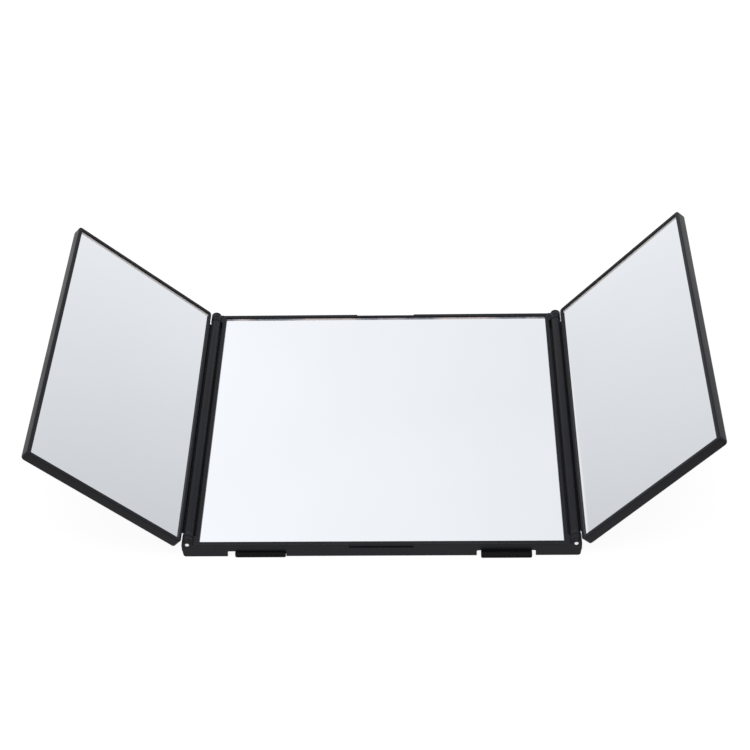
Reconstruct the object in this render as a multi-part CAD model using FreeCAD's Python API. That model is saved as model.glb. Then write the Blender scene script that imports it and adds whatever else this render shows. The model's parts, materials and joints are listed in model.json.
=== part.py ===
import FreeCAD, Part
import os

# Three-panel folding mirror, lying on its back, in millimetres.
# +X is to the right, +Z comes out of the centre glass, and -Y is the edge that is
# uppermost when the mirror hangs on its straps. The origin is the middle of the back face.

V = FreeCAD.Vector
SIDES = ("left", "right")
ENDS = {"upper": -1, "lower": 1}   # which way along Y each end lies

# ---------------------------------------------------------------- driving dimensions

# Centre panel
OPENING_W = 287.7          # visible glass, side to side
PANEL_H = 283.0            # frame, upper edge to lower edge
PANEL_T = 13.0             # back face to lip top
LIP_W = 3.5                # lip width all round
LIP_RISE = 1.5             # lip top above the glass
GLASS_T = 2.0
GLASS_HIDDEN = 1.0         # glass under the lip on each side
GLASS_PLAY = 0.2           # room round each glass
GLASS_CORNER_R = 0.8
CORNER_R = 2.2
EDGE_R = 0.6               # softened edge of the lips
COVER_T = 2.4
COVER_CORNER_R = 1.0
COVER_RIB_T = 1.6
COVER_RIB_XS = (-36.0, 0.0, 36.0)
COVER_RIB_YS = (-92.0, 0.0, 92.0)
COVER_RIB_END_GAP = 2.0
COVER_RIB_SIDE_GAP = 8.0   # from the cross ribs' ends to the strap channels
PAD_HALF_W = 16.0          # rubber pads behind the centre glass
PAD_HALF_L = 12.0
PAD_YS = (-60.0, 20.0, 100.0)
BASE_TOP_HALF_W = 157.6    # frame base, half width at the hinge channel's floor
BASE_BACK_HALF_W = 156.8   # and at the back face
BASE_H = 8.5               # height of the hinge channel's floor
BASE_WALL = 3.0
CHANNEL_FLOOR_T = 2.0

# Hinges
HINGE_X = 153.2
HINGE_Z = 12.9
EAR_R = 4.5
EAR_LENGTH = 9.8
EAR_DOME_R = 1.3
EAR_GROOVES = (1.9, 6.5)   # shallow rings round the ear, this far from its outer end
EAR_GROOVE_W = 0.5
EAR_GROOVE_D = 0.35
EAR_INNER_X = 146.6        # the ear joins the lip column here
EAR_SINK = 2.0             # how far the ear's block reaches down into the base
BARREL_R = 4.2
BARREL_EDGE_R = 1.2
PIN_R = 1.8
PIN_LENGTH = 22.0
PIN_EDGE_R = 0.4
PIN_RECESS = 0.2
PIN_CLEARANCE = 0.05
PIN_END_GAP = 0.5          # the barrel's bore runs this far past the pin
WASHER_T = 0.8
WASHER_PLAY = 0.1

# Side panels, in their own u (outward from the hinge axis) and v (out of the glass)
WING_U0 = 5.6
WING_U1 = 151.3
WING_LIP_W = 3.4
WING_HINGE_LIP_W = 2.7     # the lip beside the hinge is narrower
WING_TOP_V = -0.4
WING_BACK_V = -9.1
WING_CORNER_R = 3.0
WING_BACK_EDGE_R = 1.4
WING_BACK_T = 1.8
WING_BACK_CORNER_R = 0.8
WING_RIB_T = 1.6
WING_RIB_US = (45.0, 79.0, 113.0)
WING_RIB_YS = (-86.0, 0.0, 86.0)
WING_RIB_HALF_L = 130.0
WING_RIB_U_ENDS = (22.0, 136.0)
WING_RIB_GAP = 1.1         # from the ribs to the back of the glass
WING_PAD_US = (45.0, 113.0)
WING_PAD_HALF = 10.0
WING_RAISED_DEG = {"left": 42.9, "right": 48.7}
WEB_U0 = 3.0
WEB_V0 = -3.9
WEB_V1 = -2.2
WEB_END_GAP = 2.6          # the web stops this far short of the barrel's ends

# Finger recesses in the upper and lower edges
RECESS_HALF_W = 25.5
RECESS_DEPTH = {-1: 0.9, 1: 1.5}   # upper edge, lower edge
RECESS_Z = 9.3

# Strap channels and straps
CHANNEL_X = 98.55          # middle of each channel
CHANNEL_HALF_W = 23.25
CHANNEL_END_Y = 133.0
NOTCH_Z = 5.7
NOTCH_CORNER_R = 1.2
CEILING_Z0 = 5.9
CEILING_Z1 = 7.3
CHANNEL_WALL = 1.5
STRAP_SHIFT = {"left": -2.9, "right": 0.1}   # the straps lie with a little side play
STRAP_INSET = {"left": 1.6, "right": 0.0}    # and one is pushed a little further in
STRAP_HALF_W = 20.1
STRAP_Z0 = 1.7
STRAP_PLATE_T = 1.4
STRAP_Z1 = 5.6
STRAP_FLANGE = 2.4
FLANGE_R = 1.4             # rounded upper corner of the strap, to clear the notch
STRAP_END_Y = 128.0
STRAP_LUG_EXTRA_T = 0.6    # the lugs at the strap's hinge are this much thicker
RACK_HALF_W = 4.0
RACK_TOP_Z = 4.6
RACK_PITCH = 5.0
RACK_END_GAP = 4.0
GRIP_PITCH = 10.0          # shallow ribs across the strap's back
GRIP_HALF_W = 11.75
GRIP_GROOVE_W = 1.2
GRIP_GROOVE_D = 0.4
GRIP_END_GAP = 6.0
RAIL_Z1 = 1.5
RAIL_CORNER_R = 0.8
RAIL_INNER = 15.25         # half the gap between the two rails
RAIL_OUTER = 29.25
RAIL_PLAY = 0.1
RAIL_START = 4.5           # the rails stop this far short of the cover's upper edge

# Leaf springs that click into the racks
SPRING_Y = -96.0
SPRING_T = 0.5
SPRING_HALF_W = 5.0
SPRING_HALF_L = 21.0
SPRING_DIP_HALF_L = 7.0
SPRING_DIP_GAP = 0.45      # from the bottom of the V to the rack
WINDOW_HALF_W = 6.5
WINDOW_HALF_L = 9.0
RIVET_YS = (SPRING_Y - 16.0, SPRING_Y + 16.0)
RIVET_R = 1.0
RIVET_HEAD_R = 2.0
RIVET_HEAD_T = 0.7

# Fold-over hooks at the straps' ends
HOOK_HALF_W = 12.0
HOOK_AXIS_Z = 2.95
HOOK_T = 2.0
ARM_AXIS_Y = -68.0
TIP_AXIS_Y = -118.0
KNUCKLE_R = 2.0
LUG_LENGTH = 1.4           # from a knuckle to the far end of its lug
KNUCKLE_SPLIT = 6.15       # half width of the middle knuckle, with its side gap
KNUCKLE_GAP = 0.15
PLATE_START = KNUCKLE_R + 0.6      # plates begin this far from a hinge axis
HOOK_PIN_R = 1.0
HOOK_PIN_CLEARANCE = 0.04
HOOK_PIN_END_GAP = 0.2
HEAD_Y0 = -144.7
HEAD_Y1 = -139.4
HEAD_Z0 = 0.3
HEAD_Z1 = 5.5
HEAD_CORNER_R = 1.4
HEAD_GROOVE_PITCH = 2.2
HEAD_GROOVE_W = 0.9
HEAD_GROOVE_D = 0.5
HEAD_GROOVE_MARGIN = 2.5   # no grooves this near to the head's ends
HEAD_GROOVE_RIM = 0.7
PAD_T = 0.8
PAD_SIDE_GAP = 3.0
PAD_CORNER_R = 1.5
ARM_PAD_END_GAP = 6.0
TIP_PAD_HEAD_GAP = 1.5
TIP_PAD_HINGE_GAP = 4.5

# Fasteners
SCREW_HEAD_R = 2.5
SCREW_HEAD_T = 1.0
SCREW_SHANK_R = 1.2
SCREW_HOLE_R = 1.25
SCREW_SINK = 0.1           # head below the surface
SCREW_SEAT_PLAY = 0.3
SCREW_CROSS_W = 0.7        # cross slot
SCREW_CROSS_D = 0.6
COVER_SCREW_X = 150.3
COVER_SCREW_YS = (-118.0, -42.0, 42.0, 118.0)
COVER_SCREW_L = 6.0
BOSS_R = 3.0
BOSS_INSET = 2.7           # from a wall's inner face to a boss's middle
WING_SCREW_L = 2.8
RAIL_SCREW_HEAD_R = 2.0
RAIL_SCREW_HEAD_T = 0.7
RAIL_SCREW_YS = (-120.0, 0.0, 120.0)
RAIL_SCREW_SLOT_HALF_L = 1.3
RAIL_SCREW_SLOT_HALF_W = 0.25
RAIL_SCREW_SLOT_D = 0.4
RAIL_BOSS_R = 2.4
RAIL_BOSS_SHIFT = 0.2      # the rails' screws stand this far out from the middle of their seats
BLIND_END = 0.6            # plastic left beyond a blind screw hole
TIP_GAP = 0.2              # air beyond a screw's tip

# Worked-out sizes
WALL = LIP_W - GLASS_HIDDEN - GLASS_PLAY
LIP_HALF_W = OPENING_W / 2 + LIP_W
HALF_H = PANEL_H / 2
OPENING_HALF_H = HALF_H - LIP_W
GLASS_HALF_H = OPENING_HALF_H + GLASS_HIDDEN
POCKET_HALF_W = LIP_HALF_W - WALL
POCKET_HALF_H = HALF_H - WALL
GLASS_TOP_Z = PANEL_T - LIP_RISE
GLASS_BACK_Z = GLASS_TOP_Z - GLASS_T
EAR_INNER_Y = HALF_H - EAR_LENGTH
BARREL_HALF_L = EAR_INNER_Y - WASHER_T - 2 * WASHER_PLAY
WING_GLASS_TOP_V = WING_TOP_V - LIP_RISE
WING_GLASS_BACK_V = WING_GLASS_TOP_V - GLASS_T
WING_WALL = WING_LIP_W - GLASS_HIDDEN - GLASS_PLAY
WING_HINGE_WALL = WING_HINGE_LIP_W - GLASS_HIDDEN - GLASS_PLAY
WING_POCKET_U0 = WING_U0 + WING_HINGE_WALL
WING_POCKET_U1 = WING_U1 - WING_WALL
WING_POCKET_HALF_H = HALF_H - WING_WALL
WING_RIB_TOP_V = WING_GLASS_BACK_V - WING_RIB_GAP
WING_SCREW_US = (WING_POCKET_U0 + BOSS_INSET, WING_POCKET_U1 - BOSS_INSET)
WING_SCREW_YS = (BOSS_INSET - WING_POCKET_HALF_H, 0.0, WING_POCKET_HALF_H - BOSS_INSET)
RAIL_SCREW_OFFSET = (CHANNEL_HALF_W + RAIL_OUTER) / 2 + RAIL_BOSS_SHIFT
HOOK_Z0 = HOOK_AXIS_Z - HOOK_T / 2
HOOK_Z1 = HOOK_AXIS_Z + HOOK_T / 2
OVERRUN = 1.0              # how far cutting tools run past a face
TINY = 0.01                # tolerance when edges are picked by their place


# ---------------------------------------------------------------- small helpers

def box(x0, x1, y0, y1, z0, z1):
    return Part.makeBox(x1 - x0, y1 - y0, z1 - z0, V(x0, y0, z0))


def rod(radius, start, end):
    along = end - start
    return Part.makeCylinder(radius, along.Length, start, along)


def union(shapes):
    joined = shapes[0].multiFuse(shapes[1:])
    return joined.removeSplitter()


def edges_where(shape, test):
    found = []
    for edge in shape.Edges:
        bounds = edge.BoundBox
        if test(bounds):
            found.append(edge)
    return found


def soften(shape, radius, test):
    return shape.makeFillet(radius, edges_where(shape, test))


def rounded_box(x0, x1, y0, y1, z0, z1, radius):
    """A box with its four upright edges rounded."""
    return soften(box(x0, x1, y0, y1, z0, z1), radius, lambda b: b.ZLength > (z1 - z0) / 2)


def to_side(shape, side):
    """Shapes are drawn on the right; the left one is the mirror image."""
    if side == "left":
        return shape.mirror(V(0, 0, 0), V(1, 0, 0))
    return shape


def raise_wing(shape, side):
    """Turns a right-hand piece drawn flat open up to its stored angle."""
    turned = shape.copy()
    turned.rotate(V(HINGE_X, 0, HINGE_Z), V(0, -1, 0), WING_RAISED_DEG[side])
    return to_side(turned, side)


def export(name, shape):
    if not shape.isValid():
        raise ValueError(name + " is not a valid shape")
    shape.exportStep("parts/" + name + ".step")
    print(name, len(shape.Solids), round(shape.Volume, 1))


def pan_screw(x, y, z_head, length):
    """A pan-head screw whose head faces -Z; z_head is the head's outer face."""
    head = rod(SCREW_HEAD_R, V(x, y, z_head), V(x, y, z_head + SCREW_HEAD_T))
    head = soften(head, SCREW_HEAD_T / 3, lambda b: b.ZLength < TINY and abs(b.ZMin - z_head) < TINY)
    shank = rod(SCREW_SHANK_R, V(x, y, z_head), V(x, y, z_head + SCREW_HEAD_T + length))
    screw = union([head, shank])
    reach = SCREW_HEAD_R * 0.6
    half_w = SCREW_CROSS_W / 2
    depth = z_head + SCREW_CROSS_D
    across = box(x - reach, x + reach, y - half_w, y + half_w, z_head - OVERRUN, depth)
    along = box(x - half_w, x + half_w, y - reach, y + reach, z_head - OVERRUN, depth)
    return screw.cut(across).cut(along)


def screw_seat(x, y, z_face):
    """The hole and counterbore that a pan screw needs in a sheet whose outer face is at z_face."""
    seat_z = z_face + SCREW_SINK + SCREW_HEAD_T
    sink = rod(SCREW_HEAD_R + SCREW_SEAT_PLAY, V(x, y, z_face - OVERRUN), V(x, y, seat_z))
    through = rod(SCREW_HOLE_R, V(x, y, z_face - OVERRUN), V(x, y, seat_z + BASE_H))
    return sink.fuse(through)


# ---------------------------------------------------------------- centre panel

def base_prism():
    """Lip block and wide base in one section, run from the upper edge to the lower edge."""
    right = [
        (BASE_BACK_HALF_W, 0.0),
        (BASE_TOP_HALF_W, BASE_H),
        (LIP_HALF_W, BASE_H),
        (LIP_HALF_W, PANEL_T),
    ]
    left = [(-x, z) for x, z in reversed(right)]
    points = [V(x, -HALF_H, z) for x, z in right + left]
    face = Part.Face(Part.makePolygon(points + points[:1]))
    prism = face.extrude(V(0, PANEL_H, 0))
    prism = soften(prism, CORNER_R, lambda b: b.YLength > PANEL_H / 2 and b.ZMax < TINY)
    return soften(prism, EDGE_R, lambda b: b.ZMin > PANEL_T - TINY)


def ear_groove(y):
    y0 = y - EAR_GROOVE_W / 2
    y1 = y + EAR_GROOVE_W / 2
    outer = rod(EAR_R + OVERRUN, V(HINGE_X, y0, HINGE_Z), V(HINGE_X, y1, HINGE_Z))
    return outer.cut(rod(EAR_R - EAR_GROOVE_D, V(HINGE_X, y0, HINGE_Z), V(HINGE_X, y1, HINGE_Z)))


def hinge_ear(end):
    """One ear at the upper (-1) or lower (+1) end: a domed, grooved knuckle on a block."""
    y_out = end * HALF_H
    y_in = end * EAR_INNER_Y
    knuckle = rod(EAR_R, V(HINGE_X, y_in, HINGE_Z), V(HINGE_X, y_out, HINGE_Z))
    knuckle = soften(knuckle, EAR_DOME_R, lambda b: b.YLength < TINY and abs(b.YMin - y_out) < TINY)
    for distance in EAR_GROOVES:
        knuckle = knuckle.cut(ear_groove(end * (HALF_H - distance)))
    block = box(EAR_INNER_X, HINGE_X + EAR_R, min(y_out, y_in), max(y_out, y_in),
                BASE_H - EAR_SINK, PANEL_T)
    return union([knuckle, block])


def cover_boss(x, y):
    return rod(BOSS_R, V(x, y, COVER_T), V(x, y, BASE_H - CHANNEL_FLOOR_T / 2))


def strap_notch():
    """The mouth in the upper edge wall that a strap comes out of."""
    notch = box(CHANNEL_X - CHANNEL_HALF_W, CHANNEL_X + CHANNEL_HALF_W,
                -HALF_H - OVERRUN, -POCKET_HALF_H + OVERRUN, -OVERRUN, NOTCH_Z)
    return soften(notch, NOTCH_CORNER_R, lambda b: b.YLength > OVERRUN and b.ZMin > NOTCH_Z - TINY)


def finger_recess(end):
    y_step = end * (HALF_H - RECESS_DEPTH[end])
    y_tool = end * (HALF_H + OVERRUN)
    return box(-RECESS_HALF_W, RECESS_HALF_W, min(y_step, y_tool), max(y_step, y_tool),
               RECESS_Z, PANEL_T + OVERRUN)


def centre_frame():
    cavity_half_w = BASE_TOP_HALF_W - BASE_WALL
    cavity = box(-cavity_half_w, cavity_half_w, -POCKET_HALF_H, POCKET_HALF_H,
                 -OVERRUN, BASE_H - CHANNEL_FLOOR_T)
    pocket = box(-POCKET_HALF_W, POCKET_HALF_W, -POCKET_HALF_H, POCKET_HALF_H, 0.0, GLASS_TOP_Z)
    opening = box(-OPENING_W / 2, OPENING_W / 2, -OPENING_HALF_H, OPENING_HALF_H,
                  0.0, PANEL_T + OVERRUN)
    added = [base_prism().cut(cavity).cut(pocket).cut(opening)]
    for side in SIDES:
        for end in ENDS.values():
            added.append(to_side(hinge_ear(end), side))
        for y in COVER_SCREW_YS:
            added.append(to_side(cover_boss(COVER_SCREW_X, y), side))
    body = union(added)
    cutters = [finger_recess(end) for end in ENDS.values()]
    for side in SIDES:
        bore = rod(PIN_R, V(HINGE_X, -HALF_H - OVERRUN, HINGE_Z), V(HINGE_X, HALF_H + OVERRUN, HINGE_Z))
        cutters.append(to_side(bore, side))
        cutters.append(to_side(strap_notch(), side))
        for y in COVER_SCREW_YS:
            hole = rod(SCREW_HOLE_R, V(COVER_SCREW_X, y, 0.0),
                       V(COVER_SCREW_X, y, SCREW_SINK + SCREW_HEAD_T + COVER_SCREW_L + TIP_GAP))
            cutters.append(to_side(hole, side))
    for cutter in cutters:
        body = body.cut(cutter)
    return body


def rail_screw_places():
    return [(CHANNEL_X + sign * RAIL_SCREW_OFFSET, y) for sign in (-1, 1) for y in RAIL_SCREW_YS]


def channel_trough(side):
    """The inverted trough that a strap slides in, and its rail bosses, all above the cover."""
    half_w = CHANNEL_HALF_W + CHANNEL_WALL
    shapes = [box(CHANNEL_X - half_w, CHANNEL_X + half_w,
                  -GLASS_HALF_H, CHANNEL_END_Y + CHANNEL_WALL, COVER_T / 2, CEILING_Z1)]
    for x, y in rail_screw_places():
        shapes.append(rod(RAIL_BOSS_R, V(x, y, COVER_T / 2), V(x, y, CEILING_Z0)))
    return [to_side(shape, side) for shape in shapes]


def channel_cutters(side):
    rebate_half_w = RAIL_OUTER + RAIL_PLAY
    hollow = box(CHANNEL_X - CHANNEL_HALF_W, CHANNEL_X + CHANNEL_HALF_W,
                 -GLASS_HALF_H - OVERRUN, CHANNEL_END_Y, -OVERRUN, CEILING_Z0)
    rebate = box(CHANNEL_X - rebate_half_w, CHANNEL_X + rebate_half_w,
                 -GLASS_HALF_H - OVERRUN, CHANNEL_END_Y + RAIL_PLAY, -OVERRUN, RAIL_Z1)
    window = box(CHANNEL_X - WINDOW_HALF_W, CHANNEL_X + WINDOW_HALF_W,
                 SPRING_Y - WINDOW_HALF_L, SPRING_Y + WINDOW_HALF_L,
                 CEILING_Z0 - OVERRUN, CEILING_Z1 + OVERRUN)
    cutters = [hollow, rebate, window]
    for x, y in rail_screw_places():
        cutters.append(rod(SCREW_HOLE_R, V(x, y, 0.0), V(x, y, CEILING_Z0 - BLIND_END)))
    for y in RIVET_YS:
        cutters.append(rod(RIVET_R, V(CHANNEL_X, y, CEILING_Z0 - OVERRUN),
                           V(CHANNEL_X, y, CEILING_Z1 + OVERRUN)))
    return [to_side(shape, side) for shape in cutters]


def cover_ribs():
    half_t = COVER_RIB_T / 2
    half_l = GLASS_HALF_H - COVER_RIB_END_GAP
    half_w = CHANNEL_X - CHANNEL_HALF_W - CHANNEL_WALL - COVER_RIB_SIDE_GAP
    top = GLASS_BACK_Z - GLASS_PLAY
    ribs = [box(x - half_t, x + half_t, -half_l, half_l, COVER_T / 2, top) for x in COVER_RIB_XS]
    ribs += [box(-half_w, half_w, y - half_t, y + half_t, COVER_T / 2, top) for y in COVER_RIB_YS]
    return ribs


def centre_back_cover():
    half_w = BASE_TOP_HALF_W - BASE_WALL - GLASS_PLAY
    plate = rounded_box(-half_w, half_w, -GLASS_HALF_H, GLASS_HALF_H, 0.0, COVER_T, COVER_CORNER_R)
    shapes = [plate] + cover_ribs()
    cutters = []
    for side in SIDES:
        shapes += channel_trough(side)
        cutters += channel_cutters(side)
        for y in COVER_SCREW_YS:
            cutters.append(to_side(screw_seat(COVER_SCREW_X, y, 0.0), side))
    body = union(shapes)
    for cutter in cutters:
        body = body.cut(cutter)
    return body


def centre_mirror():
    half_w = POCKET_HALF_W - GLASS_PLAY
    return rounded_box(-half_w, half_w, -GLASS_HALF_H, GLASS_HALF_H,
                       GLASS_BACK_Z, GLASS_TOP_Z, GLASS_CORNER_R)


def centre_mirror_pads():
    """Rubber pads between the strap channels and the back of the glass."""
    pads = []
    for x in (-CHANNEL_X, CHANNEL_X):
        for y in PAD_YS:
            pads.append(box(x - PAD_HALF_W, x + PAD_HALF_W, y - PAD_HALF_L, y + PAD_HALF_L,
                            CEILING_Z1, GLASS_BACK_Z))
    return Part.makeCompound(pads)


def cover_screws():
    screws = []
    for sign in (-1, 1):
        for y in COVER_SCREW_YS:
            screws.append(pan_screw(sign * COVER_SCREW_X, y, SCREW_SINK, COVER_SCREW_L))
    return Part.makeCompound(screws)


# ---------------------------------------------------------------- strap channels' fittings

def rail_screw_seat(x, y):
    sink = rod(RAIL_SCREW_HEAD_R + GLASS_PLAY, V(x, y, -OVERRUN), V(x, y, SCREW_SINK + RAIL_SCREW_HEAD_T))
    return sink.fuse(rod(SCREW_HOLE_R, V(x, y, -OVERRUN), V(x, y, RAIL_Z1 + OVERRUN)))


def strap_rails(side):
    """Two strips along the channel; each one overhangs the strap's edge."""
    strips = []
    for inner, outer in ((-RAIL_OUTER, -RAIL_INNER), (RAIL_INNER, RAIL_OUTER)):
        strip = rounded_box(CHANNEL_X + inner, CHANNEL_X + outer, RAIL_START - GLASS_HALF_H, CHANNEL_END_Y,
                            0.0, RAIL_Z1, RAIL_CORNER_R)
        for x, y in rail_screw_places():
            strip = strip.cut(rail_screw_seat(x, y))
        strips.append(to_side(strip, side))
    return Part.makeCompound(strips)


def rail_screw(x, y):
    head = rod(RAIL_SCREW_HEAD_R, V(x, y, SCREW_SINK), V(x, y, SCREW_SINK + RAIL_SCREW_HEAD_T))
    shank = rod(SCREW_SHANK_R, V(x, y, SCREW_SINK), V(x, y, CEILING_Z0 - BLIND_END - TIP_GAP))
    slot = box(x - RAIL_SCREW_SLOT_HALF_L, x + RAIL_SCREW_SLOT_HALF_L,
               y - RAIL_SCREW_SLOT_HALF_W, y + RAIL_SCREW_SLOT_HALF_W,
               -OVERRUN, SCREW_SINK + RAIL_SCREW_SLOT_D)
    return union([head, shank]).cut(slot)


def rail_screws():
    screws = []
    for side in SIDES:
        for x, y in rail_screw_places():
            screws.append(to_side(rail_screw(x, y), side))
    return Part.makeCompound(screws)


def detent_spring(side):
    """A leaf with a shallow V that dips through the channel's window towards the rack."""
    low = RACK_TOP_Z + SPRING_DIP_GAP
    top = CEILING_Z1
    lower = [(-SPRING_HALF_L, top), (-SPRING_DIP_HALF_L, top), (0.0, low),
             (SPRING_DIP_HALF_L, top), (SPRING_HALF_L, top)]
    upper = [(y, z + SPRING_T) for y, z in reversed(lower)]
    points = [V(CHANNEL_X - SPRING_HALF_W, SPRING_Y + y, z) for y, z in lower + upper]
    leaf = Part.Face(Part.makePolygon(points + points[:1])).extrude(V(2 * SPRING_HALF_W, 0, 0))
    for y in RIVET_YS:
        leaf = leaf.cut(rod(RIVET_R, V(CHANNEL_X, y, top - OVERRUN), V(CHANNEL_X, y, top + OVERRUN)))
    return to_side(leaf, side)


def spring_rivets():
    rivets = []
    head_z = CEILING_Z1 + SPRING_T
    for side in SIDES:
        for y in RIVET_YS:
            shank = rod(RIVET_R, V(CHANNEL_X, y, CEILING_Z0 + SCREW_SINK), V(CHANNEL_X, y, head_z))
            head = rod(RIVET_HEAD_R, V(CHANNEL_X, y, head_z), V(CHANNEL_X, y, head_z + RIVET_HEAD_T))
            rivets.append(to_side(union([shank, head]), side))
    return Part.makeCompound(rivets)


# ---------------------------------------------------------------- hinges

def hinge_pin(side, end):
    """A plain steel pin, pressed into an ear and turning in the barrel."""
    y_out = end * (HALF_H - PIN_RECESS)
    y_in = end * (HALF_H - PIN_RECESS - PIN_LENGTH)
    pin = rod(PIN_R, V(HINGE_X, y_out, HINGE_Z), V(HINGE_X, y_in, HINGE_Z))
    pin = soften(pin, PIN_EDGE_R, lambda b: b.YLength < TINY)
    return to_side(pin, side)


def hinge_washer(side, end):
    y0 = end * (BARREL_HALF_L + WASHER_PLAY)
    y1 = end * (BARREL_HALF_L + WASHER_PLAY + WASHER_T)
    ring = rod(BARREL_R, V(HINGE_X, y0, HINGE_Z), V(HINGE_X, y1, HINGE_Z))
    hole = rod(PIN_R + PIN_CLEARANCE, V(HINGE_X, y0 - end, HINGE_Z), V(HINGE_X, y1 + end, HINGE_Z))
    return to_side(ring.cut(hole), side)


# ---------------------------------------------------------------- side panels

def wing_box(u0, u1, y0, y1, v0, v1):
    return box(HINGE_X + u0, HINGE_X + u1, y0, y1, HINGE_Z + v0, HINGE_Z + v1)


def wing_plate(u0, u1, half_h, v0, v1, radius):
    return rounded_box(HINGE_X + u0, HINGE_X + u1, -half_h, half_h, HINGE_Z + v0, HINGE_Z + v1, radius)


def wing_screw_places():
    return [(HINGE_X + u, y) for u in WING_SCREW_US for y in WING_SCREW_YS]


def wing_shell():
    """The side panel's front frame: lip, side walls and the pocket for glass and back."""
    top_z = HINGE_Z + WING_TOP_V
    back_z = HINGE_Z + WING_BACK_V
    shell = wing_plate(WING_U0, WING_U1, HALF_H, WING_BACK_V, WING_TOP_V, WING_CORNER_R)
    shell = soften(shell, EDGE_R, lambda b: b.ZMin > top_z - TINY)
    shell = soften(shell, WING_BACK_EDGE_R, lambda b: b.ZMax < back_z + TINY)
    pocket = wing_box(WING_POCKET_U0, WING_POCKET_U1, -WING_POCKET_HALF_H, WING_POCKET_HALF_H,
                      WING_BACK_V - OVERRUN, WING_GLASS_TOP_V)
    opening_half_h = HALF_H - WING_LIP_W
    opening = wing_box(WING_U0 + WING_HINGE_LIP_W, WING_U1 - WING_LIP_W,
                       -opening_half_h, opening_half_h, WING_BACK_V, OVERRUN)
    return shell.cut(pocket).cut(opening)


def wing_barrel():
    barrel = rod(BARREL_R, V(HINGE_X, -BARREL_HALF_L, HINGE_Z), V(HINGE_X, BARREL_HALF_L, HINGE_Z))
    return soften(barrel, BARREL_EDGE_R, lambda b: b.YLength < TINY)


def barrel_bore(end):
    y_out = end * (BARREL_HALF_L + OVERRUN)
    y_in = end * (HALF_H - PIN_RECESS - PIN_LENGTH - PIN_END_GAP)
    return rod(PIN_R + PIN_CLEARANCE, V(HINGE_X, y_out, HINGE_Z), V(HINGE_X, y_in, HINGE_Z))


def wing_frame(side):
    back_z = HINGE_Z + WING_BACK_V
    glass_z = HINGE_Z + WING_GLASS_BACK_V
    web_half_l = BARREL_HALF_L - WEB_END_GAP
    web = wing_box(WEB_U0, WING_U0 + WING_HINGE_WALL / 2, -web_half_l, web_half_l, WEB_V0, WEB_V1)
    pieces = [wing_shell(), wing_barrel(), web]
    for x, y in wing_screw_places():
        pieces.append(rod(BOSS_R, V(x, y, back_z + WING_BACK_T), V(x, y, glass_z - GLASS_PLAY)))
    body = union(pieces)
    for x, y in wing_screw_places():
        body = body.cut(rod(SCREW_HOLE_R, V(x, y, back_z), V(x, y, glass_z - GLASS_PLAY - BLIND_END)))
    for end in ENDS.values():
        body = body.cut(barrel_bore(end))
    return raise_wing(body, side)


def wing_back(side):
    half_h = WING_POCKET_HALF_H - GLASS_PLAY
    plate = wing_plate(WING_POCKET_U0 + GLASS_PLAY, WING_POCKET_U1 - GLASS_PLAY, half_h,
                       WING_BACK_V, WING_BACK_V + WING_BACK_T, WING_BACK_CORNER_R)
    shapes = [plate]
    half_t = WING_RIB_T / 2
    rib_v0 = WING_BACK_V + WING_BACK_T / 2
    rib_u0, rib_u1 = WING_RIB_U_ENDS
    for u in WING_RIB_US:
        shapes.append(wing_box(u - half_t, u + half_t, -WING_RIB_HALF_L, WING_RIB_HALF_L,
                               rib_v0, WING_RIB_TOP_V))
    for y in WING_RIB_YS:
        shapes.append(wing_box(rib_u0, rib_u1, y - half_t, y + half_t, rib_v0, WING_RIB_TOP_V))
    body = union(shapes)
    for x, y in wing_screw_places():
        body = body.cut(screw_seat(x, y, HINGE_Z + WING_BACK_V))
    return raise_wing(body, side)


def wing_mirror(side):
    plate = wing_plate(WING_POCKET_U0 + GLASS_PLAY, WING_POCKET_U1 - GLASS_PLAY,
                       WING_POCKET_HALF_H - GLASS_PLAY, WING_GLASS_BACK_V, WING_GLASS_TOP_V, GLASS_CORNER_R)
    return raise_wing(plate, side)


def wing_mirror_pads(side):
    pads = []
    half = WING_PAD_HALF
    for u in WING_PAD_US:
        for y in WING_RIB_YS:
            pad = wing_box(u - half, u + half, y - half, y + half, WING_RIB_TOP_V, WING_GLASS_BACK_V)
            pads.append(raise_wing(pad, side))
    return Part.makeCompound(pads)


def wing_screws(side):
    screws = []
    for x, y in wing_screw_places():
        screw = pan_screw(x, y, HINGE_Z + WING_BACK_V + SCREW_SINK, WING_SCREW_L)
        screws.append(raise_wing(screw, side))
    return Part.makeCompound(screws)


# ---------------------------------------------------------------- hanging straps and hooks

def strap_middle(side):
    return CHANNEL_X + STRAP_SHIFT[side]


def to_strap_side(shape, side):
    """Pushes a piece of a strap in to where the strap rests, then takes it to its side."""
    moved = shape.copy()
    moved.translate(V(0, STRAP_INSET[side], 0))
    return to_side(moved, side)


def hinge_bore(x, y, radius):
    reach = HOOK_HALF_W + OVERRUN
    return rod(radius, V(x - reach, y, HOOK_AXIS_Z), V(x + reach, y, HOOK_AXIS_Z))


def knuckle_with_lug(x0, x1, y, plate_side, z0, z1):
    """A hinge knuckle and the lug that joins it to a plate lying on plate_side (+1 is +Y)."""
    far = y + plate_side * (KNUCKLE_R + LUG_LENGTH)
    barrel = rod(KNUCKLE_R, V(x0, y, HOOK_AXIS_Z), V(x1, y, HOOK_AXIS_Z))
    return [barrel, box(x0, x1, min(y, far), max(y, far), z0, z1)]


def outer_knuckles(x, y, plate_side, z0, z1):
    left = knuckle_with_lug(x - HOOK_HALF_W, x - KNUCKLE_SPLIT, y, plate_side, z0, z1)
    right = knuckle_with_lug(x + KNUCKLE_SPLIT, x + HOOK_HALF_W, y, plate_side, z0, z1)
    return left + right


def middle_knuckle(x, y, plate_side, z0, z1):
    half_w = KNUCKLE_SPLIT - KNUCKLE_GAP
    return knuckle_with_lug(x - half_w, x + half_w, y, plate_side, z0, z1)


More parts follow.
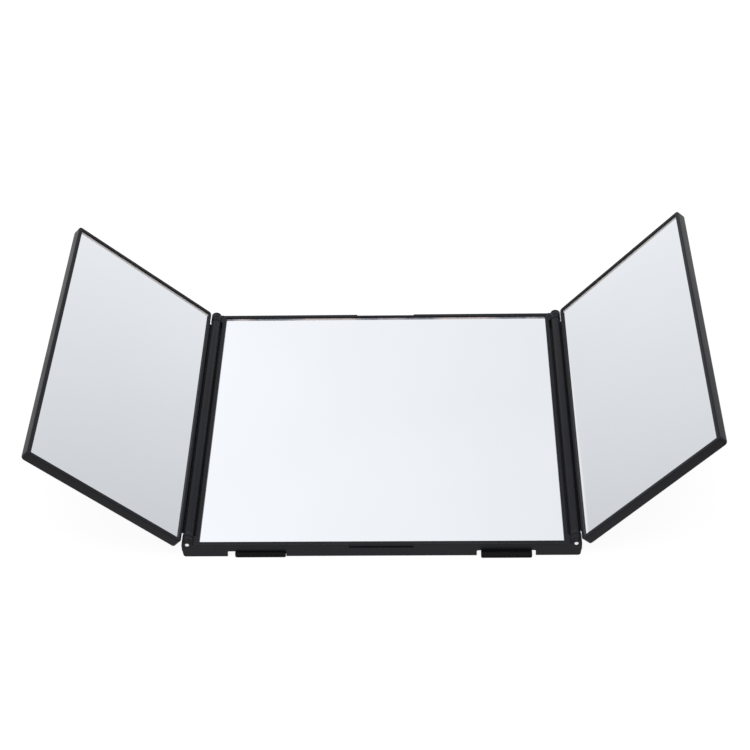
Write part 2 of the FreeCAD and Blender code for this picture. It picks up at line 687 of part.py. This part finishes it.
def strap_flange(x, sign, start):
    """One of the strap's raised edges, with its outer top corner rounded."""
    edge = x + sign * STRAP_HALF_W
    inner = edge - sign * STRAP_FLANGE
    flange = box(min(edge, inner), max(edge, inner), start, STRAP_END_Y, STRAP_Z0, STRAP_Z1)
    return soften(flange, FLANGE_R, lambda b: b.YLength > OVERRUN and b.ZMin > STRAP_Z1 - TINY
                  and abs(b.XMin - edge) < TINY)


def rack_gaps(x, start):
    floor_z = STRAP_Z0 + STRAP_PLATE_T
    gaps = []
    y = start + RACK_END_GAP + RACK_PITCH
    while y < STRAP_END_Y - RACK_END_GAP - RACK_PITCH:
        gaps.append(box(x - RACK_HALF_W, x + RACK_HALF_W, y, y + RACK_PITCH / 2,
                        floor_z, RACK_TOP_Z + OVERRUN))
        y += RACK_PITCH
    return gaps


def grip_grooves(x, start):
    grooves = []
    y = start + GRIP_END_GAP
    while y < STRAP_END_Y - GRIP_END_GAP:
        grooves.append(box(x - GRIP_HALF_W, x + GRIP_HALF_W, y, y + GRIP_GROOVE_W,
                           STRAP_Z0 - OVERRUN, STRAP_Z0 + GRIP_GROOVE_D))
        y += GRIP_PITCH
    return grooves


def strap(side):
    """A shallow open channel with a toothed rack down its middle and grooves across its back."""
    x = strap_middle(side)
    start = ARM_AXIS_Y + PLATE_START
    floor_top = STRAP_Z0 + STRAP_PLATE_T
    shapes = [box(x - STRAP_HALF_W, x + STRAP_HALF_W, start, STRAP_END_Y, STRAP_Z0, floor_top)]
    shapes += [strap_flange(x, sign, start) for sign in (-1, 1)]
    shapes.append(box(x - RACK_HALF_W, x + RACK_HALF_W, start + RACK_END_GAP, STRAP_END_Y - RACK_END_GAP,
                      STRAP_Z0, RACK_TOP_Z))
    shapes += outer_knuckles(x, ARM_AXIS_Y, 1, STRAP_Z0, floor_top + STRAP_LUG_EXTRA_T)
    cutters = rack_gaps(x, start) + grip_grooves(x, start)
    cutters.append(hinge_bore(x, ARM_AXIS_Y, HOOK_PIN_R))
    body = union(shapes).cut(Part.makeCompound(cutters))
    return to_strap_side(body, side)


def hook_arm(side):
    """The link that lies over the door's top edge when the hook is unfolded."""
    x = strap_middle(side)
    shapes = [box(x - HOOK_HALF_W, x + HOOK_HALF_W, TIP_AXIS_Y + PLATE_START, ARM_AXIS_Y - PLATE_START,
                  HOOK_Z0, HOOK_Z1)]
    shapes += middle_knuckle(x, ARM_AXIS_Y, -1, HOOK_Z0, HOOK_Z1)
    shapes += outer_knuckles(x, TIP_AXIS_Y, 1, HOOK_Z0, HOOK_Z1)
    body = union(shapes)
    body = body.cut(hinge_bore(x, ARM_AXIS_Y, HOOK_PIN_R + HOOK_PIN_CLEARANCE))
    body = body.cut(hinge_bore(x, TIP_AXIS_Y, HOOK_PIN_R))
    return to_strap_side(body, side)


def head_grooves(x):
    """Upright grooves that give the fingers a hold on the head."""
    count = int((STRAP_HALF_W - HEAD_GROOVE_MARGIN) / HEAD_GROOVE_PITCH)
    half_w = HEAD_GROOVE_W / 2
    grooves = []
    for i in range(-count, count + 1):
        middle = x + i * HEAD_GROOVE_PITCH
        grooves.append(box(middle - half_w, middle + half_w, HEAD_Y0 - OVERRUN, HEAD_Y0 + HEAD_GROOVE_D,
                           HEAD_Z0 + HEAD_GROOVE_RIM, HEAD_Z1 - HEAD_GROOVE_RIM))
    return grooves


def hook_tip(side):
    """The end that drops behind the door, with the wide ribbed head one pulls it out by."""
    x = strap_middle(side)
    plate = box(x - HOOK_HALF_W, x + HOOK_HALF_W, HEAD_Y1 - OVERRUN, TIP_AXIS_Y - PLATE_START,
                HOOK_Z0, HOOK_Z1)
    head = box(x - STRAP_HALF_W, x + STRAP_HALF_W, HEAD_Y0, HEAD_Y1, HEAD_Z0, HEAD_Z1)
    head = soften(head, HEAD_CORNER_R, lambda b: b.YLength > OVERRUN)
    body = union([plate, head] + middle_knuckle(x, TIP_AXIS_Y, -1, HOOK_Z0, HOOK_Z1))
    body = body.cut(Part.makeCompound(head_grooves(x)))
    body = body.cut(hinge_bore(x, TIP_AXIS_Y, HOOK_PIN_R + HOOK_PIN_CLEARANCE))
    return to_strap_side(body, side)


def hook_pin(side, y):
    x = strap_middle(side)
    reach = HOOK_HALF_W - HOOK_PIN_END_GAP
    pin = rod(HOOK_PIN_R, V(x - reach, y, HOOK_AXIS_Z), V(x + reach, y, HOOK_AXIS_Z))
    return to_strap_side(pin, side)


def hook_pad(side, y0, y1):
    x = strap_middle(side)
    half_w = HOOK_HALF_W - PAD_SIDE_GAP
    pad = rounded_box(x - half_w, x + half_w, y0, y1, HOOK_Z0 - PAD_T, HOOK_Z0, PAD_CORNER_R)
    return to_strap_side(pad, side)


# ---------------------------------------------------------------- everything

def export_centre():
    export("centre_frame", centre_frame())
    export("centre_back_cover", centre_back_cover())
    export("centre_mirror", centre_mirror())
    export("centre_mirror_pads", centre_mirror_pads())
    export("cover_screws", cover_screws())
    export("rail_screws", rail_screws())
    export("spring_rivets", spring_rivets())


def export_side(side):
    export(side + "_strap_rails", strap_rails(side))
    export(side + "_detent_spring", detent_spring(side))
    for place, end in ENDS.items():
        export(side + "_" + place + "_hinge_pin", hinge_pin(side, end))
        export(side + "_" + place + "_washer", hinge_washer(side, end))
    export(side + "_wing_frame", wing_frame(side))
    export(side + "_wing_back", wing_back(side))
    export(side + "_wing_mirror", wing_mirror(side))
    export(side + "_wing_mirror_pads", wing_mirror_pads(side))
    export(side + "_wing_screws", wing_screws(side))
    export(side + "_strap", strap(side))
    export(side + "_hook_arm", hook_arm(side))
    export(side + "_hook_tip", hook_tip(side))
    export(side + "_arm_pin", hook_pin(side, ARM_AXIS_Y))
    export(side + "_tip_pin", hook_pin(side, TIP_AXIS_Y))
    export(side + "_arm_pad", hook_pad(side, TIP_AXIS_Y + ARM_PAD_END_GAP, ARM_AXIS_Y - ARM_PAD_END_GAP))
    export(side + "_tip_pad", hook_pad(side, HEAD_Y1 + TIP_PAD_HEAD_GAP, TIP_AXIS_Y - TIP_PAD_HINGE_GAP))


def main():
    os.makedirs("parts", exist_ok=True)
    export_centre()
    for side in SIDES:
        export_side(side)


main()
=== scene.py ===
import json
import math

import bmesh
import bpy
from mathutils import Matrix, Vector
from mathutils.bvhtree import BVHTree


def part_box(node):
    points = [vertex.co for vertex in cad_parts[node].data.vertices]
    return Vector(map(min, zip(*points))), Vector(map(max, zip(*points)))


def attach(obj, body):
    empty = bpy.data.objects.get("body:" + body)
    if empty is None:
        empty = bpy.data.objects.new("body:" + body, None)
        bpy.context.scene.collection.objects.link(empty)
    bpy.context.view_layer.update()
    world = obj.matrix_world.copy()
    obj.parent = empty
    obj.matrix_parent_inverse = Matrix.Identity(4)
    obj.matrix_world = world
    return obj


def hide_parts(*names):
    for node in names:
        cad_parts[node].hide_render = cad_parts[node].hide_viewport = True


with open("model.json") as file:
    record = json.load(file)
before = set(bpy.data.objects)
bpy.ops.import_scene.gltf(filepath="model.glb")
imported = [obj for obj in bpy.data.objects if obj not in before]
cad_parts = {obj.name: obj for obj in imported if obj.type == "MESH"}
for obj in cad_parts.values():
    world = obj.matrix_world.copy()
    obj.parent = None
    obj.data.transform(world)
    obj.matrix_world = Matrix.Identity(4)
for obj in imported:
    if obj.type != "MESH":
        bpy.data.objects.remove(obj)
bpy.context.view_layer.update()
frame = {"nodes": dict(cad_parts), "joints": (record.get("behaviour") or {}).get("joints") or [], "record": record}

MM = 0.001

# ---------------------------------------------------------------- camera, lights, floor

CAMERA_AZIMUTH = 2.207
CAMERA_ELEVATION = 41.676
CAMERA_ROLL = -1.880
CAMERA_DISTANCE = 1.5358
CAMERA_TARGET = Vector((-0.00823, 0.06052, 0.0115))
CAMERA_LENS = 84.49
CAMERA_SENSOR = 36.0
CAMERA_CLIP = (0.05, 50.0)

# name, place, (width, length), power in watts, colour; each light aims at the origin
LIGHTS = (
    ("overhead_softbox", (0.0, -0.1, 2.0), (2.2, 1.6), 14.0, (1.0, 0.99, 0.98)),
    ("overhead_strip", (0.0, -0.2, 1.9), (0.22, 1.7), 9.0, (1.0, 1.0, 1.0)),
    ("left_softbox", (-2.2, -0.6, 1.3), (1.2, 1.2), 5.0, (1.0, 0.98, 0.95)),
    ("right_softbox", (2.2, -0.4, 1.2), (1.0, 1.2), 4.0, (1.0, 0.99, 0.97)),
)

# each ramp runs between two (position, brightness) pairs
BACKDROP_RAMP = ((0.66, 0.60), (0.80, 0.88))
OVERHEAD_RAMP = ((0.36, 0.99), (0.60, 0.84))
HEIGHT_RAMP = ((0.25, 0.0), (0.66, 1.0))
OVERHEAD_SHIFT = 0.5           # moves the left to right direction into the ramp's 0 to 1
WORLD_TINT = (0.965, 0.98, 1.0, 1.0)
WORLD_STRENGTH = 1.25

FLOOR_HALF = 4.0
FLOOR_DROP = 0.0002            # the floor lies this far under the back face
FLOOR_GLOW = 0.92
FLOOR_ROUGHNESS = 0.9
FLOOR_GREY = (0.085, 0.095)


def make_camera():
    """The camera looks at its target from the given direction, turned by its roll."""
    azimuth = math.radians(CAMERA_AZIMUTH)
    elevation = math.radians(CAMERA_ELEVATION)
    roll = math.radians(CAMERA_ROLL)
    level = math.cos(elevation)
    back = Vector((math.sin(azimuth) * level, -math.cos(azimuth) * level, math.sin(elevation)))
    flat_right = Vector((math.cos(azimuth), math.sin(azimuth), 0.0))
    flat_up = back.cross(flat_right)
    right = flat_right * math.cos(roll) + flat_up * math.sin(roll)
    up = back.cross(right)
    data = bpy.data.cameras.new("camera")
    data.lens = CAMERA_LENS
    data.sensor_width = CAMERA_SENSOR
    data.clip_start, data.clip_end = CAMERA_CLIP
    camera = bpy.data.objects.new("camera", data)
    turn = Matrix((right, up, back)).transposed().to_4x4()
    camera.matrix_world = Matrix.Translation(CAMERA_TARGET + back * CAMERA_DISTANCE) @ turn
    bpy.context.scene.collection.objects.link(camera)
    bpy.context.scene.camera = camera


def area_light(name, place, size, power, colour):
    data = bpy.data.lights.new(name, "AREA")
    data.shape = "RECTANGLE"
    data.size, data.size_y = size
    data.energy = power
    data.color = colour
    light = bpy.data.objects.new(name, data)
    light.location = place
    to_origin = -Vector(place)
    light.rotation_euler = to_origin.to_track_quat("-Z", "Y").to_euler()
    bpy.context.scene.collection.objects.link(light)


def make_lights():
    for name, place, size, power, colour in LIGHTS:
        area_light(name, place, size, power, colour)


def world_ramp(tree, value, ends):
    """A grey that runs between two (position, brightness) pairs."""
    node = tree.nodes.new("ShaderNodeValToRGB")
    for element, (position, grey) in zip(node.color_ramp.elements, ends):
        element.position = position
        element.color = (grey, grey, grey, 1.0)
    tree.links.new(value, node.inputs[0])
    return node.outputs["Color"]


def open_sockets(sockets):
    """A mix node's sockets that are in use, by name."""
    return {socket.name: socket for socket in sockets if socket.enabled}


def make_world():
    """Soft studio surroundings: a bright backdrop behind the object that falls off to both sides,
    and an overhead panel a little brighter on the left."""
    world = bpy.data.worlds.new("studio")
    bpy.context.scene.world = world
    world.use_nodes = True
    tree = world.node_tree
    coordinates = tree.nodes.new("ShaderNodeTexCoord")
    split = tree.nodes.new("ShaderNodeSeparateXYZ")
    tree.links.new(coordinates.outputs["Generated"], split.inputs[0])
    shifted = tree.nodes.new("ShaderNodeMath")
    shifted.operation = "ADD"
    shifted.inputs[1].default_value = OVERHEAD_SHIFT
    tree.links.new(split.outputs["X"], shifted.inputs[0])
    backdrop = world_ramp(tree, split.outputs["Y"], BACKDROP_RAMP)
    overhead = world_ramp(tree, shifted.outputs[0], OVERHEAD_RAMP)
    height = world_ramp(tree, split.outputs["Z"], HEIGHT_RAMP)
    blend = tree.nodes.new("ShaderNodeMix")
    blend.data_type = "RGBA"
    tint = tree.nodes.new("ShaderNodeMix")
    tint.data_type = "RGBA"
    tint.blend_type = "MULTIPLY"
    blend_in = open_sockets(blend.inputs)
    tint_in = open_sockets(tint.inputs)
    tree.links.new(height, blend_in["Factor"])
    tree.links.new(backdrop, blend_in["A"])
    tree.links.new(overhead, blend_in["B"])
    tint_in["Factor"].default_value = 1.0
    tint_in["B"].default_value = WORLD_TINT
    tree.links.new(open_sockets(blend.outputs)["Result"], tint_in["A"])
    background = tree.nodes["Background"]
    tree.links.new(open_sockets(tint.outputs)["Result"], background.inputs["Color"])
    background.inputs["Strength"].default_value = WORLD_STRENGTH


def make_floor():
    """A white sweep that is lit until hardly any shadow is left on it."""
    mesh = bpy.data.meshes.new("floor")
    corners = []
    for x, y in ((-1, -1), (1, -1), (1, 1), (-1, 1)):
        corners.append((x * FLOOR_HALF, y * FLOOR_HALF, -FLOOR_DROP))
    mesh.from_pydata(corners, [], [(0, 1, 2, 3)])
    floor = bpy.data.objects.new("floor", mesh)
    bpy.context.scene.collection.objects.link(floor)
    surface = Shader("floor_white")
    surface.set("Roughness", FLOOR_ROUGHNESS)
    surface.set("Specular IOR Level", 0.0)
    surface.set("Emission Color", (1.0, 1.0, 1.0, 1.0))
    surface.set("Emission Strength", FLOOR_GLOW)
    mottle = surface.noise(3.0, 3.0)
    surface.link(surface.ramp(mottle, (0.3, FLOOR_GREY[0]), (0.7, FLOOR_GREY[1])), "Base Color")
    mesh.materials.append(surface.material)


# ---------------------------------------------------------------- material helpers

class Shader:
    """A principled material with short names for the nodes it needs."""

    def __init__(self, name):
        self.material = bpy.data.materials.new(name)
        self.material.use_nodes = True
        self.tree = self.material.node_tree
        self.bsdf = self.tree.nodes["Principled BSDF"]
        coordinates = self.tree.nodes.new("ShaderNodeTexCoord")
        self.place = coordinates.outputs["Object"]

    def set(self, socket, value):
        self.bsdf.inputs[socket].default_value = value

    def link(self, output, socket):
        self.tree.links.new(output, self.bsdf.inputs[socket])

    def stretch(self, scale):
        mapping = self.tree.nodes.new("ShaderNodeMapping")
        mapping.inputs["Scale"].default_value = scale
        self.tree.links.new(self.place, mapping.inputs["Vector"])
        return mapping.outputs["Vector"]

    def noise(self, scale, detail=4.0, place=None, roughness=0.5):
        node = self.tree.nodes.new("ShaderNodeTexNoise")
        node.inputs["Scale"].default_value = scale
        node.inputs["Detail"].default_value = detail
        node.inputs["Roughness"].default_value = roughness
        self.tree.links.new(place or self.place, node.inputs["Vector"])
        return node.outputs["Fac"]

    def ramp(self, value, low, high):
        """Runs between two (position, colour) pairs; a colour may be a single grey."""
        node = self.tree.nodes.new("ShaderNodeValToRGB")
        for element, (position, colour) in zip(node.color_ramp.elements, (low, high)):
            if not isinstance(colour, tuple):
                colour = (colour, colour, colour)
            element.position = position
            element.color = (*colour, 1.0)
        self.tree.links.new(value, node.inputs[0])
        return node.outputs["Color"]

    def maths(self, operation, first, second):
        node = self.tree.nodes.new("ShaderNodeMath")
        node.operation = operation
        for socket, value in zip(node.inputs, (first, second)):
            if isinstance(value, (int, float)):
                socket.default_value = value
            else:
                self.tree.links.new(value, socket)
        return node.outputs[0]

    def mix(self, factor, first, second):
        node = self.tree.nodes.new("ShaderNodeMix")
        node.data_type = "RGBA"
        sockets = open_sockets(node.inputs)
        for name, value in (("Factor", factor), ("A", first), ("B", second)):
            if isinstance(value, tuple):
                sockets[name].default_value = (*value, 1.0)
            else:
                self.tree.links.new(value, sockets[name])
        return open_sockets(node.outputs)["Result"]

    def along(self, axis):
        """The place along one axis: 0 is X, 1 is Y."""
        node = self.tree.nodes.new("ShaderNodeSeparateXYZ")
        self.tree.links.new(self.place, node.inputs[0])
        return node.outputs[axis]

    def bump(self, height, strength, distance):
        node = self.tree.nodes.new("ShaderNodeBump")
        node.inputs["Strength"].default_value = strength
        node.inputs["Distance"].default_value = distance
        self.tree.links.new(height, node.inputs["Height"])
        self.tree.links.new(node.outputs["Normal"], self.bsdf.inputs["Normal"])


# ---------------------------------------------------------------- materials

# silvering, and the grey strip along its lower edge
EDGE_STRIP_FROM_Y = 135.2 * MM       # the grey strip runs from here to under the lip
EDGE_STRIP_WIDTH = 2.8 * MM
EDGE_STRIP_ROUGHNESS = 0.6
SIDE_PANEL_FROM_X = 150.0 * MM
DULL_GREY = (0.065, 0.068, 0.088)
DULL_PINK = (0.33, 0.27, 0.26)
DULL_ON_SIDE_PANELS = (0.30, 0.275, 0.26)
SILVER = ((0.762, 0.774, 0.797), (0.788, 0.799, 0.822))
FULL_HAZE = 0.035

# plastic
SHEEN_ROUGHNESS = 0.35
SHEEN_TINT = (1.0, 0.98, 0.95, 1.0)
SCUFF_STRETCH = (0.12, 1.0, 1.0)
SCUFF_SHARE = 0.4              # share of the scuffs in the uneven gloss; the rest is cloudiness

# steel
STEEL = ((0.72, 0.72, 0.73), (0.86, 0.86, 0.87))
BRUSH_STRETCH = (1.0, 0.05, 1.0)

# depth of each surface's relief
PLASTIC_RELIEF = 0.06 * MM
GLASS_RELIEF = 0.4 * MM
STEEL_RELIEF = 0.03 * MM
RUBBER_RELIEF = 0.1 * MM


def moulded_plastic(name, dark, light, glossiest, dullest, specular, sheen_weight, grain_scale):
    """Black moulded plastic: fine spark-eroded grain, uneven gloss, a few scuffs."""
    shader = Shader(name)
    cloud = shader.noise(38.0, 5.0)
    shader.link(shader.ramp(cloud, (0.35, dark), (0.7, light)), "Base Color")
    scuffs = shader.noise(900.0, 2.0, shader.stretch(SCUFF_STRETCH))
    cloud_part = shader.maths("MULTIPLY", cloud, 1.0 - SCUFF_SHARE)
    scuff_part = shader.maths("MULTIPLY", scuffs, SCUFF_SHARE)
    gloss = shader.maths("ADD", cloud_part, scuff_part)
    shader.link(shader.ramp(gloss, (0.35, glossiest), (0.65, dullest)), "Roughness")
    shader.set("Specular IOR Level", specular)
    shader.set("Sheen Weight", sheen_weight)
    shader.set("Sheen Roughness", SHEEN_ROUGHNESS)
    shader.set("Sheen Tint", SHEEN_TINT)
    shader.bump(shader.noise(grain_scale, 3.0), 0.25, PLASTIC_RELIEF)
    return shader.material


def grey_edge_strip(shader):
    """How much the grey strip covers each place: 0, except in the strip along the lower edge."""
    depth = shader.maths("MULTIPLY", shader.maths("SUBTRACT", shader.along(1), EDGE_STRIP_FROM_Y), 1.0 / EDGE_STRIP_WIDTH)
    strip = shader.ramp(depth, (0.0, 0.0), (0.12, 1.0))
    flecks = shader.ramp(shader.noise(850.0, 5.0, roughness=0.75), (0.40, 0.70), (0.56, 1.0))
    return shader.maths("MULTIPLY", flecks, strip)


def mirror_silver():
    """Silvered glass: faint waviness and haze. In a narrow strip along the lower edge the silver gives way
    to a dull grey with pinkish patches, paler on the side panels."""
    shader = Shader("mirror_silver")
    edge_strip_cover = grey_edge_strip(shader)
    clean = shader.ramp(shader.noise(5.0, 3.0), (0.3, SILVER[0]), (0.7, SILVER[1]))
    patches = shader.ramp(shader.noise(22.0, 3.0), (0.47, DULL_GREY), (0.60, DULL_PINK))
    off_centre = shader.maths("ABSOLUTE", shader.along(0), 0.0)
    on_side = shader.maths("GREATER_THAN", off_centre, SIDE_PANEL_FROM_X)
    # the grey strip under the lip: darker grey with pinkish patches on the centre panel, a paler warm grey on the
    # side panels
    dull = shader.mix(on_side, patches, DULL_ON_SIDE_PANELS)
    shader.link(shader.mix(edge_strip_cover, clean, dull), "Base Color")
    shader.link(shader.maths("SUBTRACT", 1.0, edge_strip_cover), "Metallic")
    haze = shader.ramp(shader.noise(14.0, 6.0), (0.4, 0.0), (0.8, FULL_HAZE))
    edge_strip_haze = shader.maths("MULTIPLY", edge_strip_cover, EDGE_STRIP_ROUGHNESS)
    shader.link(shader.maths("ADD", haze, edge_strip_haze), "Roughness")
    shader.bump(shader.noise(6.0, 1.0), 0.05, GLASS_RELIEF)
    return shader.material


def bright_steel():
    """Plated steel with a fine brushed grain."""
    shader = Shader("bright_steel")
    shader.set("Metallic", 1.0)
    grain = shader.noise(1500.0, 2.0, shader.stretch(BRUSH_STRETCH))
    shader.link(shader.ramp(grain, (0.3, STEEL[0]), (0.7, STEEL[1])), "Base Color")
    shader.link(shader.ramp(grain, (0.3, 0.16), (0.7, 0.3)), "Roughness")
    shader.bump(grain, 0.1, STEEL_RELIEF)
    return shader.material


def soft_rubber(name, dark, light):
    """Dull rubber with a fine grain."""
    shader = Shader(name)
    cloud = shader.noise(160.0, 5.0)
    shader.link(shader.ramp(cloud, (0.3, dark), (0.7, light)), "Base Color")
    shader.link(shader.ramp(cloud, (0.3, 0.7), (0.7, 0.88)), "Roughness")
    shader.set("Specular IOR Level", 0.3)
    shader.bump(shader.noise(2200.0, 2.0), 0.4, RUBBER_RELIEF)
    return shader.material


def make_materials():
    """One material for each of the record's slots."""
    return {
        "frame_plastic": moulded_plastic(
            "black_frame_plastic", dark=(0.0038, 0.0039, 0.0058), light=(0.0054, 0.0056, 0.0080),
            glossiest=0.30, dullest=0.42, specular=0.14, sheen_weight=0.03, grain_scale=5200.0),
        "strap_plastic": moulded_plastic(
            "black_strap_plastic", dark=(0.0016, 0.0016, 0.0019), light=(0.0028, 0.0028, 0.0032),
            glossiest=0.42, dullest=0.58, specular=0.07, sheen_weight=0.0, grain_scale=3800.0),
        "washer_plastic": moulded_plastic(
            "dark_washer_plastic", dark=(0.008, 0.008, 0.010), light=(0.013, 0.013, 0.015),
            glossiest=0.25, dullest=0.35, specular=0.3, sheen_weight=0.0, grain_scale=5200.0),
        "mirror_glass": mirror_silver(),
        "steel": bright_steel(),
        "pad_rubber": soft_rubber("pad_rubber", (0.02, 0.02, 0.022), (0.035, 0.035, 0.037)),
        "hook_rubber": soft_rubber("hook_rubber", (0.012, 0.012, 0.012), (0.022, 0.022, 0.022)),
    }


# ---------------------------------------------------------------- mesh helpers

SMOOTH_BELOW = math.radians(42.0)      # shading runs smoothly over edges flatter than this
ROUND_ABOVE = math.radians(38.0)       # edges sharper than this are rounded
FLAT_BELOW = math.radians(0.6)         # faces this nearly in one plane are joined
SAME_POINT = 0.001 * MM
ROUND_SEGMENTS = 2
ROUND_PROFILE = 0.5


def add_piece(name, bm, node):
    """Turns a bmesh into a piece that stands for a CAD node and takes its body and finish."""
    bmesh.ops.recalc_face_normals(bm, faces=bm.faces)
    mesh = bpy.data.meshes.new(name)
    bm.to_mesh(mesh)
    bm.free()
    mesh.shade_smooth()
    mesh.set_sharp_from_angle(angle=SMOOTH_BELOW)
    mesh.materials.append(materials[slot_of_node[node]])
    piece = bpy.data.objects.new(name, mesh)
    bpy.context.scene.collection.objects.link(piece)
    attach(piece, body_of_node[node])
    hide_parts(node)


def is_sharp(edge):
    """Whether an edge between two faces is sharp enough to be rounded."""
    return len(edge.link_faces) == 2 and edge.calc_face_angle(0.0) > ROUND_ABOVE


def softened(node, width):
    """The CAD node again, its flat faces joined up and its sharp edges rounded over. Vertices
    that end up more than the width off the CAD surface are put back on it, and all of them
    are kept inside the node's box."""
    bm = bmesh.new()
    bm.from_mesh(frame["nodes"][node].data)
    surface = BVHTree.FromBMesh(bm)
    bmesh.ops.remove_doubles(bm, verts=bm.verts, dist=SAME_POINT)
    bmesh.ops.dissolve_limit(bm, angle_limit=FLAT_BELOW, verts=bm.verts, edges=bm.edges)
    sharp = [edge for edge in bm.edges if is_sharp(edge)]
    bmesh.ops.bevel(bm, geom=sharp, offset=width, offset_type="OFFSET", segments=ROUND_SEGMENTS,
                    profile=ROUND_PROFILE, affect="EDGES", clamp_overlap=False)
    low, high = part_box(node)
    for vertex in bm.verts:
        nearest, _, _, distance = surface.find_nearest(vertex.co)
        if distance > width:
            vertex.co = nearest
        vertex.co = [min(max(value, a), b) for value, a, b in zip(vertex.co, low, high)]
    add_piece(node + "_soft", bm, node)


# ---------------------------------------------------------------- mirrors

GLASS_ARRIS = 0.3 * MM         # ground edge
GLASS_CORNER = 0.8 * MM
CORNER_STEPS = 6


def join_rings(bm, rings):
    """A skin of four-sided faces over a row of closed rings, with a face at each end."""
    for near, far in zip(rings, rings[1:]):
        for i in range(len(near)):
            j = (i + 1) % len(near)
            bm.faces.new((near[i], near[j], far[j], far[i]))
    bm.faces.new(rings[0])
    bm.faces.new(rings[-1])


def outline(u0, u1, y0, y1, radius):
    """A rounded rectangle, anticlockwise."""
    corners = ((u1 - radius, y1 - radius, 0), (u0 + radius, y1 - radius, 90),
               (u0 + radius, y0 + radius, 180), (u1 - radius, y0 + radius, 270))
    points = []
    for u, y, start in corners:
        for i in range(CORNER_STEPS + 1):
            turn = math.radians(start + 90.0 * i / CORNER_STEPS)
            points.append((u + radius * math.cos(turn), y + radius * math.sin(turn)))
    return points


def panel_axes(body):
    """Origin, across and outward directions of a panel, worked out from its hinge."""
    for joint in frame["joints"]:
        if joint["child"] == body:
            side = math.copysign(1.0, joint["pos_m"][0])
            raised = math.radians(-joint["range_deg"][0])
            across = Vector((side * math.cos(raised), 0.0, math.sin(raised)))
            outward = Vector((-side * math.sin(raised), 0.0, math.cos(raised)))
            return Vector(joint["pos_m"]), across, outward
    return Vector((0.0, 0.0, 0.0)), Vector((1.0, 0.0, 0.0)), Vector((0.0, 0.0, 1.0))


def spread(values):
    """The least and the greatest of some values."""
    return min(values), max(values)


def mirror_pane(node):
    """A sheet of glass with rounded corners and a ground edge."""
    origin, across, outward = panel_axes(body_of_node[node])
    corners = [vertex.co - origin for vertex in frame["nodes"][node].data.vertices]
    u0, u1 = spread([corner.dot(across) for corner in corners])
    y0, y1 = spread([corner.y for corner in corners])
    v0, v1 = spread([corner.dot(outward) for corner in corners])
    bm = bmesh.new()
    section = ((GLASS_ARRIS, v0), (0.0, v0 + GLASS_ARRIS), (0.0, v1 - GLASS_ARRIS), (GLASS_ARRIS, v1))
    rings = []
    for inset, v in section:
        ring = []
        for u, y in outline(u0 + inset, u1 - inset, y0 + inset, y1 - inset, GLASS_CORNER - inset):
            ring.append(bm.verts.new(origin + across * u + Vector((0.0, y, 0.0)) + outward * v))
        rings.append(ring)
    join_rings(bm, rings)
    add_piece(node + "_pane", bm, node)


# ---------------------------------------------------------------- ribbed pads

RIB_PITCH = 2.0 * MM
RIB_DEPTH = 0.3 * MM
RIB_STEPS = 6
RIB_END = 1.6 * MM             # plain strip at each end of a pad
PAD_CORNER = 1.5 * MM
PAD_CHAMFER = 0.2 * MM


def rib_height(y, y0, y1):
    """How far the pad's face is let in at y: rounded valleys between the ribs."""
    inside = min(y - y0, y1 - y) - RIB_END
    if inside <= 0.0:
        return 0.0
    return RIB_DEPTH * 0.5 * (1.0 - math.cos(2.0 * math.pi * inside / RIB_PITCH))


def pad_half_width(y, y0, y1, half):
    """Half width of the pad at y, with its corners rounded off."""
    near = PAD_CORNER - min(y - y0, y1 - y)
    if near <= 0.0:
        return half
    return half - PAD_CORNER + math.sqrt(max(PAD_CORNER ** 2 - near ** 2, 0.0))


def ribbed_pad(node):
    """A rubber pad whose outer face has soft ribs across it."""
    low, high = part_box(node)
    middle = (low[0] + high[0]) / 2
    half = (high[0] - low[0]) / 2
    y0, y1 = low[1], high[1]
    count = int((y1 - y0) / RIB_PITCH) * RIB_STEPS
    bm = bmesh.new()
    rows = []
    for i in range(count + 1):
        y = y0 + (y1 - y0) * i / count
        width = pad_half_width(y, y0, y1, half)
        face = low[2] + rib_height(y, y0, y1)
        section = ((-width, high[2]), (width, high[2]), (width, face + PAD_CHAMFER),
                   (width - PAD_CHAMFER, face), (PAD_CHAMFER - width, face), (-width, face + PAD_CHAMFER))
        rows.append([bm.verts.new((middle + x, y, z)) for x, z in section])
    join_rings(bm, rows)
    add_piece(node + "_ribbed", bm, node)


# ---------------------------------------------------------------- build

# how far edges are rounded over, by the last word of a node's name
EDGE_WIDTHS = {
    "frame": 0.2 * MM,
    "strap": 0.15 * MM,
    "arm": 0.15 * MM,
    "tip": 0.15 * MM,
    "rails": 0.2 * MM,
    "pads": 0.5 * MM,
    "washer": 0.12 * MM,
    "rivets": 0.1 * MM,
    "screws": 0.07 * MM,
    "spring": 0.08 * MM,
}

materials = make_materials()
bodies = frame["record"]["behaviour"]["bodies"]
body_of_node = {node: body for body, nodes in bodies.items() for node in nodes}
slot_of_node = {row["node"]: row["material_slot"] for row in frame["record"]["subparts"]}

for node in sorted(frame["nodes"]):
    frame["nodes"][node].data.materials.clear()
    frame["nodes"][node].data.materials.append(materials[slot_of_node[node]])
    kind = node.split("_")[-1]
    if kind == "mirror":
        mirror_pane(node)
    elif kind == "pad":
        ribbed_pad(node)
    elif not node.startswith("centre") and kind in EDGE_WIDTHS:
        softened(node, EDGE_WIDTHS[kind])

make_camera()
make_world()
make_lights()
make_floor()

bpy.context.scene.view_settings.view_transform = "Standard"
